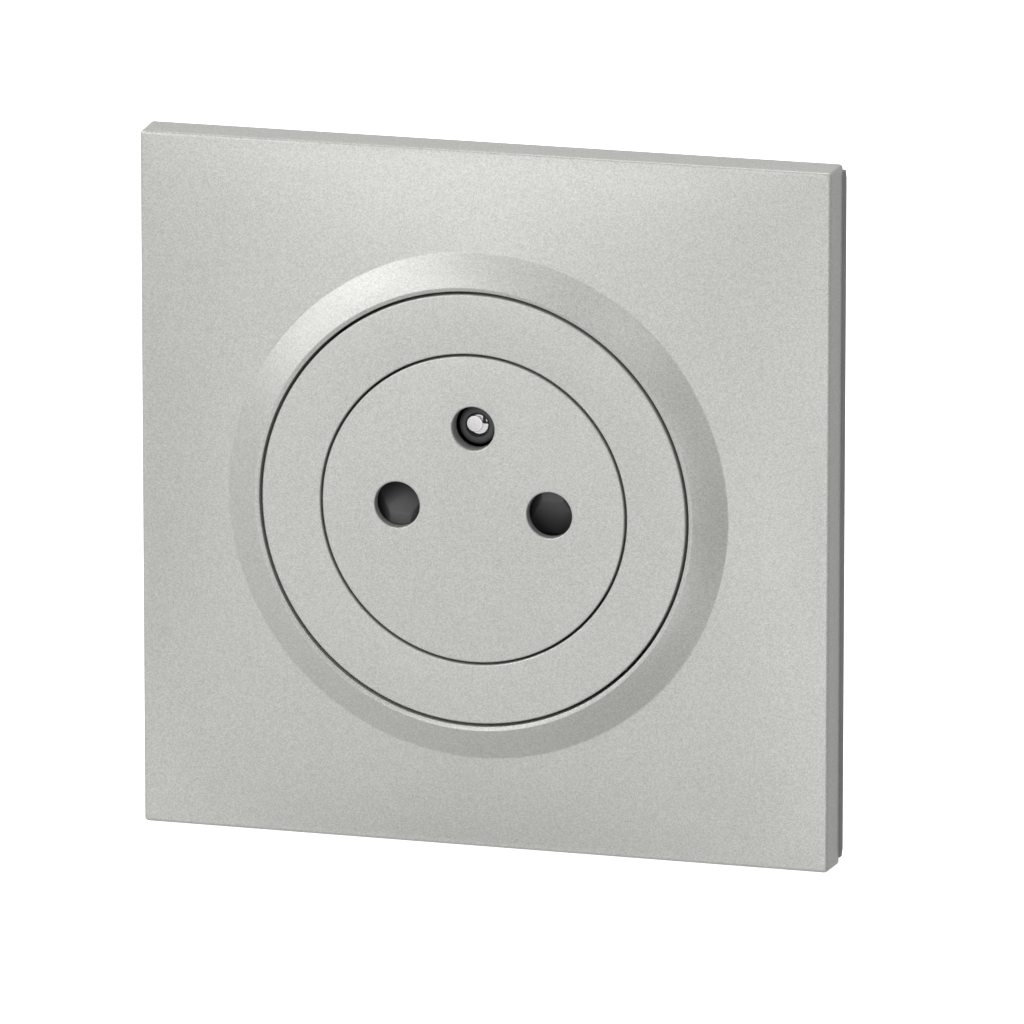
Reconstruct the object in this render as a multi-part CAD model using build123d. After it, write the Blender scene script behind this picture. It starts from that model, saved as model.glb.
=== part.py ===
from build123d import *
from math import cos, hypot, radians, sin
import os

# Flush wall socket with an earth pin. Its centre disc lies level with the face and travels in with the plug.
# The wall plane is Y = 0, the room lies towards -Y, +X is to the right of someone facing it, +Z is up.
# Heights are measured from the wall plane towards the room, so what sits inside the wall is below zero.
# All lengths are in millimetres and all angles in degrees.

# Cover plate, outside
plate_side = 86.0
plate_corner = 0.6
plate_draft = 0.15
plate_edge = 4.8
plate_edge_round = 0.35
rounding_steps = (0, 30, 60, 90)
face_rise = 2.3
corner_fan = 30.0
bevel_rise = 2.2
bevel_run = 3.9
rim_width = 0.5
rim_drop = 0.2

# Cover plate, inside
plate_wall = 1.8
collar_wall = 1.6
collar_end = 4.4
rib_width = 1.0
rib_turn = 22.5
leg_angle = 16.0
leg_depth = 1.8
leg_hook = 1.0
leg_play = 0.1

# Gaps that show on the face
ring_gap = 0.36
disc_gap = 0.28
face_sink = 0.15
edge_break = 0.2

# Backing frame
strip_height = 1.1
strip_inset = 0.6
strip_reach = 0.4
strip_edge = 0.4
strip_corner = 2.0
lip_height = 2.4
lip_wall = 1.5
lip_play = 0.2

# Mounting yoke
yoke_corner = 6.0
yoke_thickness = 1.2
yoke_play = 0.75
screw_centres = 60.0
slot_length = 8.0
slot_width = 4.2
window_play = 0.4
turn_play = 2.0

# Face ring
ring_wall = 1.8
ring_skirt = 1.5
well_skirt = 1.35
tab_angle = 16.0
tab_wall = 1.2
tab_end = 1.7
tab_room = 1.06
nose_angle = 9.0
nose_low = 3.2
nose_height = 1.7
nose_reach = 0.9
nose_play = 0.25

# Pin layout of the plug
pin_spacing = 19.0
earth_offset = 10.0
live_hole_radius = 2.8
earth_hole_radius = 2.65
earth_pin_radius = 2.4
earth_pin_depth = 2.0

# Centre disc and the carrier behind it
disc_radius = 18.85
travel = 15.0
cap_wall = 1.2
cap_skirt = 1.2
cap_fit = 0.1
earth_boss_wall = 1.4
earth_boss_depth = 0.8
carrier_depth = 5.85
flange_thickness = 2.3
flange_gap = 0.2
running_gap = 0.3
deck_gap = 0.2
key_width = 3.0
key_depth = 0.9
post_radius = 2.6
post_length = 3.0

# Safety shutter, a rotor inside the carrier
shutter_turn = 35.0
shutter_land = 6.6
shutter_width = 6.0
shutter_floor = 1.1
shutter_play = 0.2
shutter_tip = 0.7
ramp_heel = 0.7
land_slope = 2.0
land_bite = 0.3
pocket_gap = 0.4
arm_width = 3.0
arm_depth = 1.7
hub_radius = 3.6
hub_collar_height = 1.9
pivot_radius = 1.5
pivot_play = 0.1

# Springs: a coil of square wire behind the carrier and a bowed leaf at the shutter
plunger_spring_radius = 3.5
plunger_spring_wire = 0.6
plunger_spring_turns = 6
bow_sheet = 0.3
bow_width = 1.7
bow_seat = 0.03
bow_wall_end = 5.8
bow_land_end = 8.4

# Mechanism housing
tube_wall = 1.6
fit_gap = 0.3
deck_thickness = 1.6
flange_reach = 2.6
housing_flange = 1.8
block_side = 48.6
block_corner = 9.0
block_wall = 1.6
spring_well_radius = 4.6
spring_well_wall = 1.0
spring_well_depth = 14.0
lead_in_radius = 3.2
lead_in_flare = 0.6
partition = 1.0
earth_bay = 11.2
boss_radius = 2.8

# Rear cover and its screws
cover_thickness = 1.8
cover_peg = 3.0
cover_peg_length = 1.6
screw_inset = 2.6
screw_radius = 1.2
screw_head_radius = 2.3
screw_head_height = 1.0
screw_length = 9.0
screw_slot = 0.6
screw_play = 0.03
head_play = 0.2

# Contacts and terminals
contact_sheet = 0.7
contact_width = 6.0
contact_mouth = 6.4
contact_pinch = 4.2
contact_body = 6.0
contact_length = 11.4
contact_gap = 0.6
contact_throat = 2.4
contact_shoulder = 6.0
bend_radius = 1.0
bay_room = 3.9
terminal_x = 12.0
terminal_room = 7.2
tail_width = 6.0
tail_reach = 8.1
strap_sheet = 0.8
strap_width = 6.4
strap_reach = 9.4
pin_shoulder_radius = 3.6
pin_shoulder = 1.6
pin_tail_radius = 2.0
pin_rivet_radius = 2.6
pin_rivet = 0.8
pin_play = 0.05
pin_tip_flat = 1.3
pin_tip_round = 1.1
pin_tip_fall = 0.37
pin_tip_crown = 0.2
pin_seam = 0.45
seam_angle = 50.0
leaf_sheet = 0.4
leaf_width = 6.4
leaf_length = 9.7
leaf_rise = 7.8
leaf_play = 0.1
entry_width = 6.6
entry_height = 2.4
entry_lift = 0.5
button_width = 5.4
button_thickness = 1.8
button_offset = 3.9
button_proud = 1.1
button_length = 7.1
button_collar = 0.8
button_collar_height = 1.2
button_play = 0.25

# Heights that follow from the sizes above
edge_front = strip_height + plate_edge
foot_height = edge_front + face_rise
rim_height = foot_height + bevel_rise
face_height = rim_height - face_sink
cap_rear = face_height - cap_wall
carrier_rear = cap_rear - carrier_depth
flange_top = carrier_rear + flange_thickness
stop_height = flange_top + flange_gap
pocket_floor = carrier_rear + shutter_floor
deck_front = carrier_rear - travel - deck_gap
deck_rear = deck_front - deck_thickness
contact_rear = deck_rear - contact_gap - contact_length
block_end = contact_rear - bay_room
cover_rear = block_end - cover_thickness
spring_seat = deck_front - spring_well_depth

# Radii and sides that follow from the sizes above, from the disc outward
well_radius = disc_radius + disc_gap
tube_inner = well_radius + well_skirt + fit_gap
tube_outer = tube_inner + tube_wall
nose_radius = tube_outer + nose_reach
tab_inner = tube_outer + fit_gap
tab_outer = tab_inner + tab_wall
face_ring_radius = tab_outer + tab_room + ring_skirt
opening_radius = face_ring_radius + ring_gap
rim_radius = opening_radius + rim_width
ring_foot_radius = rim_radius + bevel_run
collar_radius = opening_radius + collar_wall
leg_inner = opening_radius + leg_play
leg_outer = collar_radius - leg_play
flange_radius = tube_inner - running_gap
carrier_radius = disc_radius - cap_skirt - cap_fit
lip_side = plate_side - 2 * plate_wall - 2 * lip_play
window_side = lip_side - 2 * lip_wall
yoke_side = window_side - 2 * yoke_play
bay_half = block_side / 2 - block_wall
screw_offset = bay_half - screw_inset
terminal_plane = bay_half - terminal_room

pin_x = pin_spacing / 2
hub_collar = shutter_width / 2
quarter_turns = (0, 90, 180, 270)
diagonals = (45, 135, 225, 315)


def at(height):
    """Plane parallel to the wall at a height, seen from the room."""
    return Plane.XZ.offset(height)


def slab(sketch, low, high):
    """Straight body on a front-view sketch between two heights."""
    return extrude(at(low) * sketch, amount=high - low)


def turned(*points):
    """Body of revolution about the socket's own axis, from points of radius and height."""
    outline = Polyline(*[(radius, -height) for radius, height in points], close=True)
    return revolve(make_face(outline), Axis.Y)


def side_profile(points, x_low, x_high):
    """Straight body along X, from points of up-position and height."""
    outline = Polyline(*[(-height, up) for up, height in points], close=True)
    return extrude(Plane.YZ.offset(x_low) * make_face(outline), amount=x_high - x_low)


def strip_along_x(points, sheet, radius, x_low, x_high):
    """Folded sheet strip of constant width along X, from the points of its middle line."""
    line = FilletPolyline(*[(-height, up) for up, height in points], radius=radius)
    return extrude(Plane.YZ.offset(x_low) * trace(line, sheet), amount=x_high - x_low)


def rounded_square(side, corner):
    """Front-view square with rounded corners."""
    return RectangleRounded(side, side, corner)


def sector(inner, outer, angle, width):
    """Front-view piece of a ring, centred on an angle."""
    reach = 2 * outer
    start = radians(angle - width / 2)
    end = radians(angle + width / 2)
    first = (reach * cos(start), reach * sin(start))
    last = (reach * cos(end), reach * sin(end))
    wedge = Polygon((0, 0), first, last, align=None)
    return (Circle(outer) - Circle(inner)) & wedge


def square_to_ring(side, corner, radius, low, high):
    """Body whose ruled faces run from a rounded square at one height to a circle at another.

    Each side of the square runs to a long arc of the circle and each corner fans out to a short one.
    """
    flat = side / 2 - corner
    square = []
    circle = []
    for turn in quarter_turns:
        square.append(Rot(0, 0, turn) * Line((side / 2, -flat), (side / 2, flat)))
        square.append(Rot(0, 0, turn) * CenterArc((flat, flat), corner, 0, 90))
        circle.append(CenterArc((0, 0), radius, turn - 45 + corner_fan / 2, 90 - corner_fan))
        circle.append(CenterArc((0, 0), radius, turn + 45 - corner_fan / 2, corner_fan))
    return loft([at(low) * make_face(square), at(high) * make_face(circle)], ruled=True)


def coil(start, direction, radius, wire, length, turns):
    """Coil spring that fills a length, its end turns on the seats, of square wire."""
    run = length - wire
    path = Helix(run / turns, run, radius, center=start + direction * (wire / 2), direction=direction)
    section = Plane(path @ 0, x_dir=direction, z_dir=path % 0) * Rectangle(wire, wire)
    return sweep(section, path=path, is_frenet=True)


def make_cover_plate():
    """Square plate whose face climbs to a bevelled ring, hollow behind, with snap legs on its collar."""
    sections = [at(strip_height) * rounded_square(plate_side + 2 * plate_draft, plate_corner)]
    for turn in rounding_steps:
        inset = plate_edge_round * (1 - cos(radians(turn)))
        height = edge_front - plate_edge_round * (1 - sin(radians(turn)))
        sections.append(at(height) * rounded_square(plate_side - 2 * inset, plate_corner - inset))
    outside = loft(sections, ruled=True)
    face_side = plate_side - 2 * plate_edge_round
    face_corner = plate_corner - plate_edge_round
    outside += square_to_ring(face_side, face_corner, ring_foot_radius, edge_front, foot_height)
    outside += turned(
        (0, foot_height), (ring_foot_radius, foot_height), (rim_radius, rim_height), (0, rim_height),
    )

    inner_side = plate_side - 2 * plate_wall
    inner_edge = edge_front - plate_wall
    inner_foot = foot_height - plate_wall
    inner_rim = inner_foot + (ring_foot_radius - collar_radius) * bevel_rise / bevel_run
    hollow = slab(rounded_square(inner_side, plate_corner), strip_height, inner_edge)
    hollow += turned(
        (0, inner_edge), (inner_side / 2, inner_edge), (ring_foot_radius, inner_foot),
        (collar_radius, inner_rim), (0, inner_rim),
    )
    hollow -= slab(Circle(collar_radius), collar_end, rim_height)

    rib = Pos(plate_side / 2, 0) * Rectangle(plate_side - 2 * (collar_radius - collar_wall / 2), rib_width)
    ribs = Part()
    for turn in quarter_turns + diagonals:
        ribs += slab(Rot(0, 0, turn + rib_turn) * rib, collar_end, foot_height)
    plate = outside - hollow + (outside & ribs)

    rim = turned(
        (opening_radius, rim_height - rim_drop), (rim_radius, rim_height),
        (rim_radius, rim_height + rim_drop), (0, rim_height + rim_drop), (0, rim_height - rim_drop),
    )
    plate -= rim
    plate -= slab(Circle(opening_radius), strip_height, rim_height)
    for angle in diagonals:
        plate += slab(sector(leg_inner, leg_outer, angle, leg_angle), -leg_depth, collar_end + leg_hook)
        hook = turned(
            (leg_inner + leg_play, -leg_depth), (leg_outer, -leg_depth),
            (leg_outer + leg_hook, -leg_play - leg_hook / 2), (leg_outer + leg_hook, -leg_play),
            (leg_inner + leg_play, -leg_play),
        )
        plate += hook & slab(sector(leg_inner, leg_outer + 2 * leg_hook, angle, leg_angle), -leg_depth, 0)
    return plate


def make_backing_frame():
    """Dark frame that shows as a thin strip beside the plate's edge, with a lip inside the plate."""
    window = rounded_square(window_side, strip_corner)
    lip = rounded_square(lip_side, strip_corner) - window
    strip = RectangleRounded(plate_side + 2 * strip_reach, plate_side - 2 * strip_inset, strip_edge) - window
    return slab(strip, 0, strip_height) + slab(lip, strip_height, strip_height + lip_height)


def make_mounting_yoke():
    """Sheet steel support with screw slots, notches for the housing and windows for the plate's legs."""
    sheet = rounded_square(yoke_side, yoke_corner) - Circle(tube_outer + fit_gap)
    for angle in quarter_turns:
        slot = Pos(screw_centres / 2, 0) * SlotOverall(slot_length, slot_width)
        sheet -= Rot(0, 0, angle) * slot
        sheet -= sector(tube_inner, nose_radius + fit_gap, angle, nose_angle + turn_play)
    for angle in diagonals:
        sheet -= sector(leg_inner - window_play, leg_outer + window_play, angle, leg_angle + turn_play)
    return slab(sheet, 0, yoke_thickness)


def make_face_ring():
    """Flush ring round the disc: it stops the disc's flange and snaps on the housing through the yoke."""
    skirt_inner = face_ring_radius - ring_skirt
    well_outer = well_radius + well_skirt
    ring = turned(
        (well_radius, stop_height), (well_radius, face_height - edge_break),
        (well_radius + edge_break, face_height), (face_ring_radius - edge_break, face_height),
        (face_ring_radius, face_height - edge_break), (face_ring_radius, yoke_thickness),
        (skirt_inner, yoke_thickness), (skirt_inner, face_height - ring_wall),
        (well_outer, face_height - ring_wall), (well_outer, stop_height),
    )
    window_low = nose_low - nose_play
    window_high = nose_low + nose_height + nose_play
    for angle in quarter_turns:
        ring += slab(sector(tab_inner, tab_outer, angle, tab_angle), tab_end, face_height - ring_wall / 2)
        window = sector(tube_outer, skirt_inner, angle, nose_angle + turn_play)
        ring -= slab(window, window_low, window_high)
    return ring


def make_plunger_cap():
    """Centre disc: a thin cap with three holes and a skirt that slides in the face ring."""
    skirt_inner = disc_radius - cap_skirt
    cap = turned(
        (0, face_height), (disc_radius - edge_break, face_height), (disc_radius, face_height - edge_break),
        (disc_radius, flange_top), (skirt_inner, flange_top), (skirt_inner, cap_rear), (0, cap_rear),
    )
    earth = Pos(0, earth_offset)
    cap += slab(earth * Circle(earth_hole_radius + earth_boss_wall), cap_rear - earth_boss_depth, cap_rear)
    holes = [Pos(-pin_x, 0) * Circle(live_hole_radius), Pos(pin_x, 0) * Circle(live_hole_radius)]
    holes.append(earth * Circle(earth_hole_radius))
    for hole in holes:
        cap -= slab(hole, cap_rear - earth_boss_depth, face_height)
    mouths = cap.faces().sort_by(Axis.Y)[0].inner_wires().edges()
    return chamfer(mouths, edge_break)


def make_plunger_carrier():
    """Guide body clipped in the cap: shutter pocket in front, stop flange and spring post behind."""
    carrier = turned(
        (0, cap_rear), (carrier_radius, cap_rear), (carrier_radius, flange_top),
        (flange_radius, flange_top), (flange_radius, carrier_rear), (0, carrier_rear),
    )
    carrier += slab(Circle(post_radius), carrier_rear - post_length, carrier_rear)
    reach = pin_x + shutter_land / 2 + pocket_gap
    width = shutter_width + 2 * pocket_gap
    bar = Rectangle(2 * reach, width)
    pocket = Circle(hub_radius + pocket_gap) + bar + Rot(0, 0, shutter_turn) * bar
    for angle in (shutter_turn / 2, shutter_turn / 2 + 180):
        pocket += sector(hub_radius, hypot(reach, width / 2), angle, shutter_turn)
    carrier -= slab(pocket, pocket_floor, cap_rear)
    carrier += slab(Circle(pivot_radius), carrier_rear, cap_rear - shutter_play)
    for x in (-pin_x, pin_x):
        carrier -= slab(Pos(x, 0) * Circle(live_hole_radius + cap_fit), carrier_rear, cap_rear)
    earth_clear = earth_hole_radius + earth_boss_wall + cap_fit
    carrier -= slab(Pos(0, earth_offset) * Circle(earth_clear), carrier_rear, cap_rear)
    for angle in (90, 270):
        notch = Pos(flange_radius, 0) * Rectangle(2 * key_depth, key_width + 2 * running_gap)
        carrier -= slab(Rot(0, 0, angle) * notch, carrier_rear, flange_top)
    return carrier


def make_shutter():
    """Rotor with a ramped land behind each live hole: the two pins turn it, its spring turns it back."""
    rear = pocket_floor + shutter_play
    front = cap_rear - shutter_play
    half = shutter_width / 2
    inner = pin_x - shutter_land / 2
    outer = pin_x + shutter_land / 2
    tip = rear + shutter_tip
    ramp = [(-half, rear), (-half, tip), (half - ramp_heel, front), (half, front), (half, rear)]
    shoulder = front - land_slope
    section = Polyline(
        (inner, -rear), (inner, -shoulder), (inner + land_slope, -front),
        (outer - land_slope, -front), (outer, -shoulder), (outer, -rear), close=True,
    )
    land = extrude(Plane.XY.offset(-half) * make_face(section), amount=shutter_width)
    land &= side_profile(ramp, inner, outer)
    shutter = land + Rot(0, 180, 0) * land
    arm_front = rear + arm_depth
    shutter += slab(Rectangle(2 * (inner + land_bite), arm_width) + Circle(hub_radius), rear, arm_front)
    collar_front = arm_front + hub_collar_height
    shutter += slab(Circle(hub_collar), arm_front, collar_front)
    return shutter - slab(Circle(pivot_radius + pivot_play), rear, collar_front)


def make_shutter_spring():
    """Leaf spring bowed over the shutter's hub: one end on the pocket's wall, the other on a land."""
    low = pocket_floor + shutter_play + arm_depth + bow_seat
    inset = bow_sheet / 2 + bow_seat
    high = hub_collar + pocket_gap - inset
    middle = ((bow_land_end - bow_wall_end) / 2, hub_collar + inset)
    bow = ThreePointArc((-bow_wall_end, high), middle, (bow_land_end, high))
    return slab(trace(bow, bow_sheet), low, low + bow_width)


def make_plunger_spring():
    """Coil spring that returns the disc, from the housing's spring well to the carrier."""
    length = carrier_rear - spring_seat
    start = Vector(0, -spring_seat, 0)
    outward = Vector(0, -1, 0)
    return coil(start, outward, plunger_spring_radius, plunger_spring_wire, length, plunger_spring_turns)


def make_mechanism_housing():
    """Round guide tube on a square block of contact bays, with a flange that clamps the yoke."""
    tube_end = face_height - ring_wall - fit_gap
    housing = slab(Circle(tube_outer) - Circle(tube_inner), deck_front, tube_end)
    housing += slab(Circle(tube_outer + flange_reach) - Circle(tube_inner), -housing_flange, 0)
    for angle in (90, 270):
        key = Pos(tube_inner, 0) * Rectangle(2 * key_depth, key_width)
        housing += slab(Rot(0, 0, angle) * key, deck_front, flange_top - flange_thickness / 2)
    nose_root = tube_outer - fit_gap
    nose_top = nose_low + nose_height
    nose = turned(
        (nose_root, nose_low), (nose_radius, nose_low), (nose_radius, nose_low + nose_height / 2),
        (tube_outer, nose_top), (nose_root, nose_top),
    )
    for angle in quarter_turns:
        wedge = sector(tube_inner, nose_radius + fit_gap, angle, nose_angle)
        housing += nose & slab(wedge, nose_low, tube_end)
        locator = sector(nose_root, nose_radius, angle, nose_angle)
        housing += slab(locator, -fit_gap, yoke_thickness)

    block = rounded_square(block_side, block_corner)
    bay = rounded_square(2 * bay_half, block_corner - block_wall)
    housing += slab(block, block_end, deck_front)
    housing -= slab(bay, block_end, deck_rear)
    well_outer = spring_well_radius + spring_well_wall
    housing += slab(Circle(well_outer), spring_seat - deck_thickness, deck_rear)
    housing -= slab(Circle(spring_well_radius), spring_seat, deck_front)
    wall_run = bay_half - well_outer
    live_wall = Pos(0, -(well_outer + bay_half) / 2) * Rectangle(partition, wall_run + 2 * partition)
    earth_wall = Rectangle(partition, wall_run + partition)
    wall_up = bay_half + partition / 2 - wall_run / 2
    walls = live_wall
    walls += Pos(earth_bay / 2, wall_up) * earth_wall
    walls += Pos(-earth_bay / 2, wall_up) * earth_wall
    housing += slab(walls, block_end, deck_rear)
    for x in (-screw_offset, screw_offset):
        housing += slab(Pos(x, 0) * Circle(boss_radius) & bay, block_end, deck_rear)
        housing -= slab(Pos(x, 0) * Circle(screw_radius + screw_play), block_end, deck_rear)
    for x in (-pin_x, pin_x):
        housing -= slab(Pos(x, 0) * Circle(lead_in_radius), deck_rear, deck_front)
        mouth = at(deck_front) * Pos(x, 0) * Circle(lead_in_radius + lead_in_flare)
        housing -= extrude(mouth, amount=-lead_in_flare, taper=45)
    housing -= slab(Pos(0, earth_offset) * Circle(earth_pin_radius + pin_play), deck_rear, deck_front)
    return housing


def terminals():
    """Places of the three terminals: side position and the way, up or down, that each one faces."""
    return {"live": (-terminal_x, -1), "neutral": (terminal_x, -1), "earth": (0, 1)}


def make_rear_cover():
    """Flat cover with wire entries, button slots, countersunk screw seats and corner pegs."""
    cover = slab(rounded_square(block_side, block_corner), cover_rear, block_end)
    corner_cut = (block_corner - block_wall) * (1 - cos(radians(45)))
    peg_place = bay_half - corner_cut - cover_peg / 2 - fit_gap
    for x in (-peg_place, peg_place):
        for up in (-peg_place, peg_place):
            peg = Pos(x, up) * Rectangle(cover_peg, cover_peg)
            cover += slab(peg, block_end, block_end + cover_peg_length)
    for x, way in terminals().values():
        entry = Pos(x, way * (terminal_plane + contact_sheet / 2 + entry_lift))
        button = Pos(x, way * (terminal_plane + button_offset))
        cover -= slab(entry * SlotOverall(entry_width, entry_height), cover_rear, block_end)
        opening = Rectangle(button_width + 2 * button_play, button_thickness + 2 * button_play)
        cover -= slab(button * opening, cover_rear, block_end)
    for x in (-screw_offset, screw_offset):
        seat = Pos(x, 0) * Circle(screw_head_radius + head_play)
        cover -= slab(seat, cover_rear, cover_rear + screw_head_height)
        cover -= slab(Pos(x, 0) * Circle(screw_radius + head_play), cover_rear, block_end)
    return cover


def make_housing_screws():
    """The two slotted screws that close the housing."""
    head_front = cover_rear + screw_head_height
    screws = Part()
    for x in (-screw_offset, screw_offset):
        screw = slab(Pos(x, 0) * Circle(screw_head_radius), cover_rear, head_front)
        screw += slab(Pos(x, 0) * Circle(screw_radius), head_front, head_front + screw_length)
        slot = Pos(x, 0) * Rectangle(2 * screw_head_radius, screw_slot)
        screw -= slab(slot, cover_rear, cover_rear + screw_slot)
        screws += screw
    return screws


def make_contact(side):
    """Folded sheet contact: two sprung cheeks for the pin and a tail that folds up at the terminal."""
    front = deck_rear - contact_gap
    cheek = [
        (contact_mouth / 2, front), (contact_pinch / 2, front - contact_throat),
        (contact_body / 2, front - contact_shoulder), (contact_body / 2, contact_rear),
    ]
    points = [(x, -height) for x, height in cheek]
    points += [(-x, -height) for x, height in reversed(cheek)]
    fold = Pos(side * pin_x, 0) * trace(FilletPolyline(*points, radius=bend_radius), contact_sheet)
    contact = extrude(Plane.XY.offset(-contact_width / 2) * fold, amount=contact_width)
    tail_end = contact_rear + tail_reach
    tail_line = [(0, contact_rear), (-terminal_plane, contact_rear), (-terminal_plane, tail_end)]
    tail_low = side * terminal_x - tail_width / 2
    contact += strip_along_x(tail_line, contact_sheet, bend_radius, tail_low, tail_low + tail_width)
    return contact


def make_earth_pin():
    """Turned pin with a rounded, slit tip, a shoulder under the deck and a riveted tail in the strap."""
    tip = face_height - earth_pin_depth
    round_start = tip - pin_tip_round
    shoulder_rear = deck_rear - pin_shoulder
    strap_rear = shoulder_rear - strap_sheet
    tip_middle = (pin_tip_flat + earth_pin_radius) / 2 + pin_tip_crown
    pin = turned(
        (0, tip), (pin_tip_flat, tip), (tip_middle, tip - pin_tip_fall), (earth_pin_radius, round_start),
        (earth_pin_radius, deck_rear), (pin_shoulder_radius, deck_rear),
        (pin_shoulder_radius, shoulder_rear), (pin_tail_radius, shoulder_rear),
        (pin_tail_radius, strap_rear), (pin_rivet_radius, strap_rear),
        (pin_rivet_radius, strap_rear - pin_rivet), (0, strap_rear - pin_rivet),
    )
    seam = Rot(0, 0, seam_angle) * Pos(earth_pin_radius, 0) * Rectangle(2 * pin_tip_round, pin_seam)
    pin -= slab(seam, round_start - pin_tip_round, tip)
    return Pos(0, 0, earth_offset) * pin


def make_earth_strap():
    """Folded strap under the pin's shoulder, with the tail that the earth wire is clamped to."""
    middle = deck_rear - pin_shoulder - strap_sheet / 2
    start = earth_offset - pin_shoulder_radius
    line = [(start, middle), (terminal_plane, middle), (terminal_plane, middle - strap_reach)]
    strap = strip_along_x(line, strap_sheet, bend_radius, -strap_width / 2, strap_width / 2)
    hole = Pos(0, earth_offset) * Circle(pin_tail_radius + pin_play)
    strap -= slab(hole, middle - strap_sheet, middle + strap_sheet)
    return strap


def make_clamp_spring(x, way, sheet):
    """Leaf spring folded to a narrow V: one leg on the bay's wall, the other against the terminal's sheet."""
    wall_leg = bay_half - leaf_sheet / 2 - leaf_play
    touch = terminal_plane + sheet / 2 + leaf_sheet / 2 + leaf_play
    fold = contact_rear - 2 * bend_radius + leaf_sheet
    line = [(way * wall_leg, fold + leaf_length), (way * wall_leg, fold), (way * touch, fold + leaf_rise)]
    return strip_along_x(line, leaf_sheet, bend_radius, x - leaf_width / 2, x + leaf_width / 2)


def make_release_button(x, way):
    """Sliding button beside a wire entry, with a collar that keeps it in."""
    place = Pos(x, way * (terminal_plane + button_offset))
    rear = cover_rear - button_proud
    button = slab(place * Rectangle(button_width, button_thickness), rear, rear + button_length)
    collar_low = block_end + button_play
    collar = place * Rectangle(button_width + 2 * button_collar, button_thickness)
    button += slab(collar, collar_low, collar_low + button_collar_height)
    return button


def make_parts():
    """Every piece of the socket by its node name."""
    parts = {
        "cover_plate": make_cover_plate(),
        "backing_frame": make_backing_frame(),
        "mounting_yoke": make_mounting_yoke(),
        "face_ring": make_face_ring(),
        "plunger_cap": make_plunger_cap(),
        "plunger_carrier": make_plunger_carrier(),
        "plunger_spring": make_plunger_spring(),
        "shutter": make_shutter(),
        "shutter_spring": make_shutter_spring(),
        "mechanism_housing": make_mechanism_housing(),
        "rear_cover": make_rear_cover(),
        "housing_screws": make_housing_screws(),
        "live_contact": make_contact(-1),
        "neutral_contact": make_contact(1),
        "earth_pin": make_earth_pin(),
        "earth_strap": make_earth_strap(),
    }
    sheets = {"live": contact_sheet, "neutral": contact_sheet, "earth": strap_sheet}
    for name, (x, way) in terminals().items():
        parts[name + "_clamp_spring"] = make_clamp_spring(x, way, sheets[name])
        parts[name + "_release_button"] = make_release_button(x, way)
    return parts


os.makedirs("parts", exist_ok=True)
for node, solid in make_parts().items():
    export_step(solid, f"parts/{node}.step")
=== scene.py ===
"""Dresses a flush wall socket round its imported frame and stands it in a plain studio.

Lengths are millimetres until a mesh is written, heights run from the wall plane towards the room,
and a point of a turned piece is given as its radius and its height.
"""

import logging
import math
from dataclasses import dataclass, field
from enum import Enum

import bmesh
import bpy
from mathutils import Matrix, Vector


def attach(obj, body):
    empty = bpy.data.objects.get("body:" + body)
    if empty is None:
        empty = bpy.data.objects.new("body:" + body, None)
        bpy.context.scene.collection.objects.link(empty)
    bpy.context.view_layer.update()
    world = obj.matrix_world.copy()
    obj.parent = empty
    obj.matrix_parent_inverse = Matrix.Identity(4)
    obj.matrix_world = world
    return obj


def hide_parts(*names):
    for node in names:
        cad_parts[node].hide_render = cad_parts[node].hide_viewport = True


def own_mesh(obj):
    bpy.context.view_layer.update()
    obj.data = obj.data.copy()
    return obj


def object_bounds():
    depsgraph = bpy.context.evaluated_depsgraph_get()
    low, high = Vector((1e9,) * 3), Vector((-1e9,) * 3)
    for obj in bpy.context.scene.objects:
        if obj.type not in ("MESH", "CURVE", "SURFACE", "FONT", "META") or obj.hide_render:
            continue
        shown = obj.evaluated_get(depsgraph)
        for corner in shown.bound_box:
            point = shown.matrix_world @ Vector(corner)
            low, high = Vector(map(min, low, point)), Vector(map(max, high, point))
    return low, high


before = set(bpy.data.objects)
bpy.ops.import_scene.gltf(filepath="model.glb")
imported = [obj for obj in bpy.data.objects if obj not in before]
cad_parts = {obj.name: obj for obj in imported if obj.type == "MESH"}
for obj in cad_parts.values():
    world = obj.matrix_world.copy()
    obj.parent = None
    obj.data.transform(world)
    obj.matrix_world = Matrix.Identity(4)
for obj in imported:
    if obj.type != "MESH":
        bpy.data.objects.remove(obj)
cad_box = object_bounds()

MM = 0.001
MERGE = 0.0005
QUARTERS = (0, 90, 180, 270)
DIAGONALS = (45, 135, 225, 315)
CORNER_STEPS = 4
FINE_LAYERS = 3.0
WHITE = (1.0, 1.0, 1.0, 1.0)
WIDE_STEPS = 256
PIN_STEPS = 96
HUB_STEPS = 64
Piece = bpy.types.Object
Socket = bpy.types.NodeSocket
Triple = tuple[float, float, float]
Box = tuple[float, float, float, float]
log = logging.getLogger("socket")


class Body(str, Enum):
    """Bodies of the frame that pieces ride on."""

    BASE = "base"
    PLUNGER = "plunger"
    SHUTTER = "shutter"


class Slot(str, Enum):
    """Material slots that the pieces' finishes fill."""

    LACQUER = "satin_aluminium_paint"
    FRAME = "dark_frame"
    CHARCOAL = "charcoal_plastic"
    HOUSING = "housing_plastic"
    BUTTON = "button_plastic"
    ZINC = "zinc_steel"
    SPRING = "spring_steel"
    BRASS = "contact_brass"
    NICKEL = "nickel_pin"


class Way(Enum):
    """The way a terminal faces from the middle of the mechanism."""

    UP = 1
    DOWN = -1


class Blend(str, Enum):
    """What a boolean does with the other piece's space."""

    ADD = "UNION"
    TAKE = "DIFFERENCE"


@dataclass(frozen=True)
class Corner:
    """One corner of an outline, with the radius that rounds it."""

    across: float
    height: float
    fillet: float = 0.0


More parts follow.
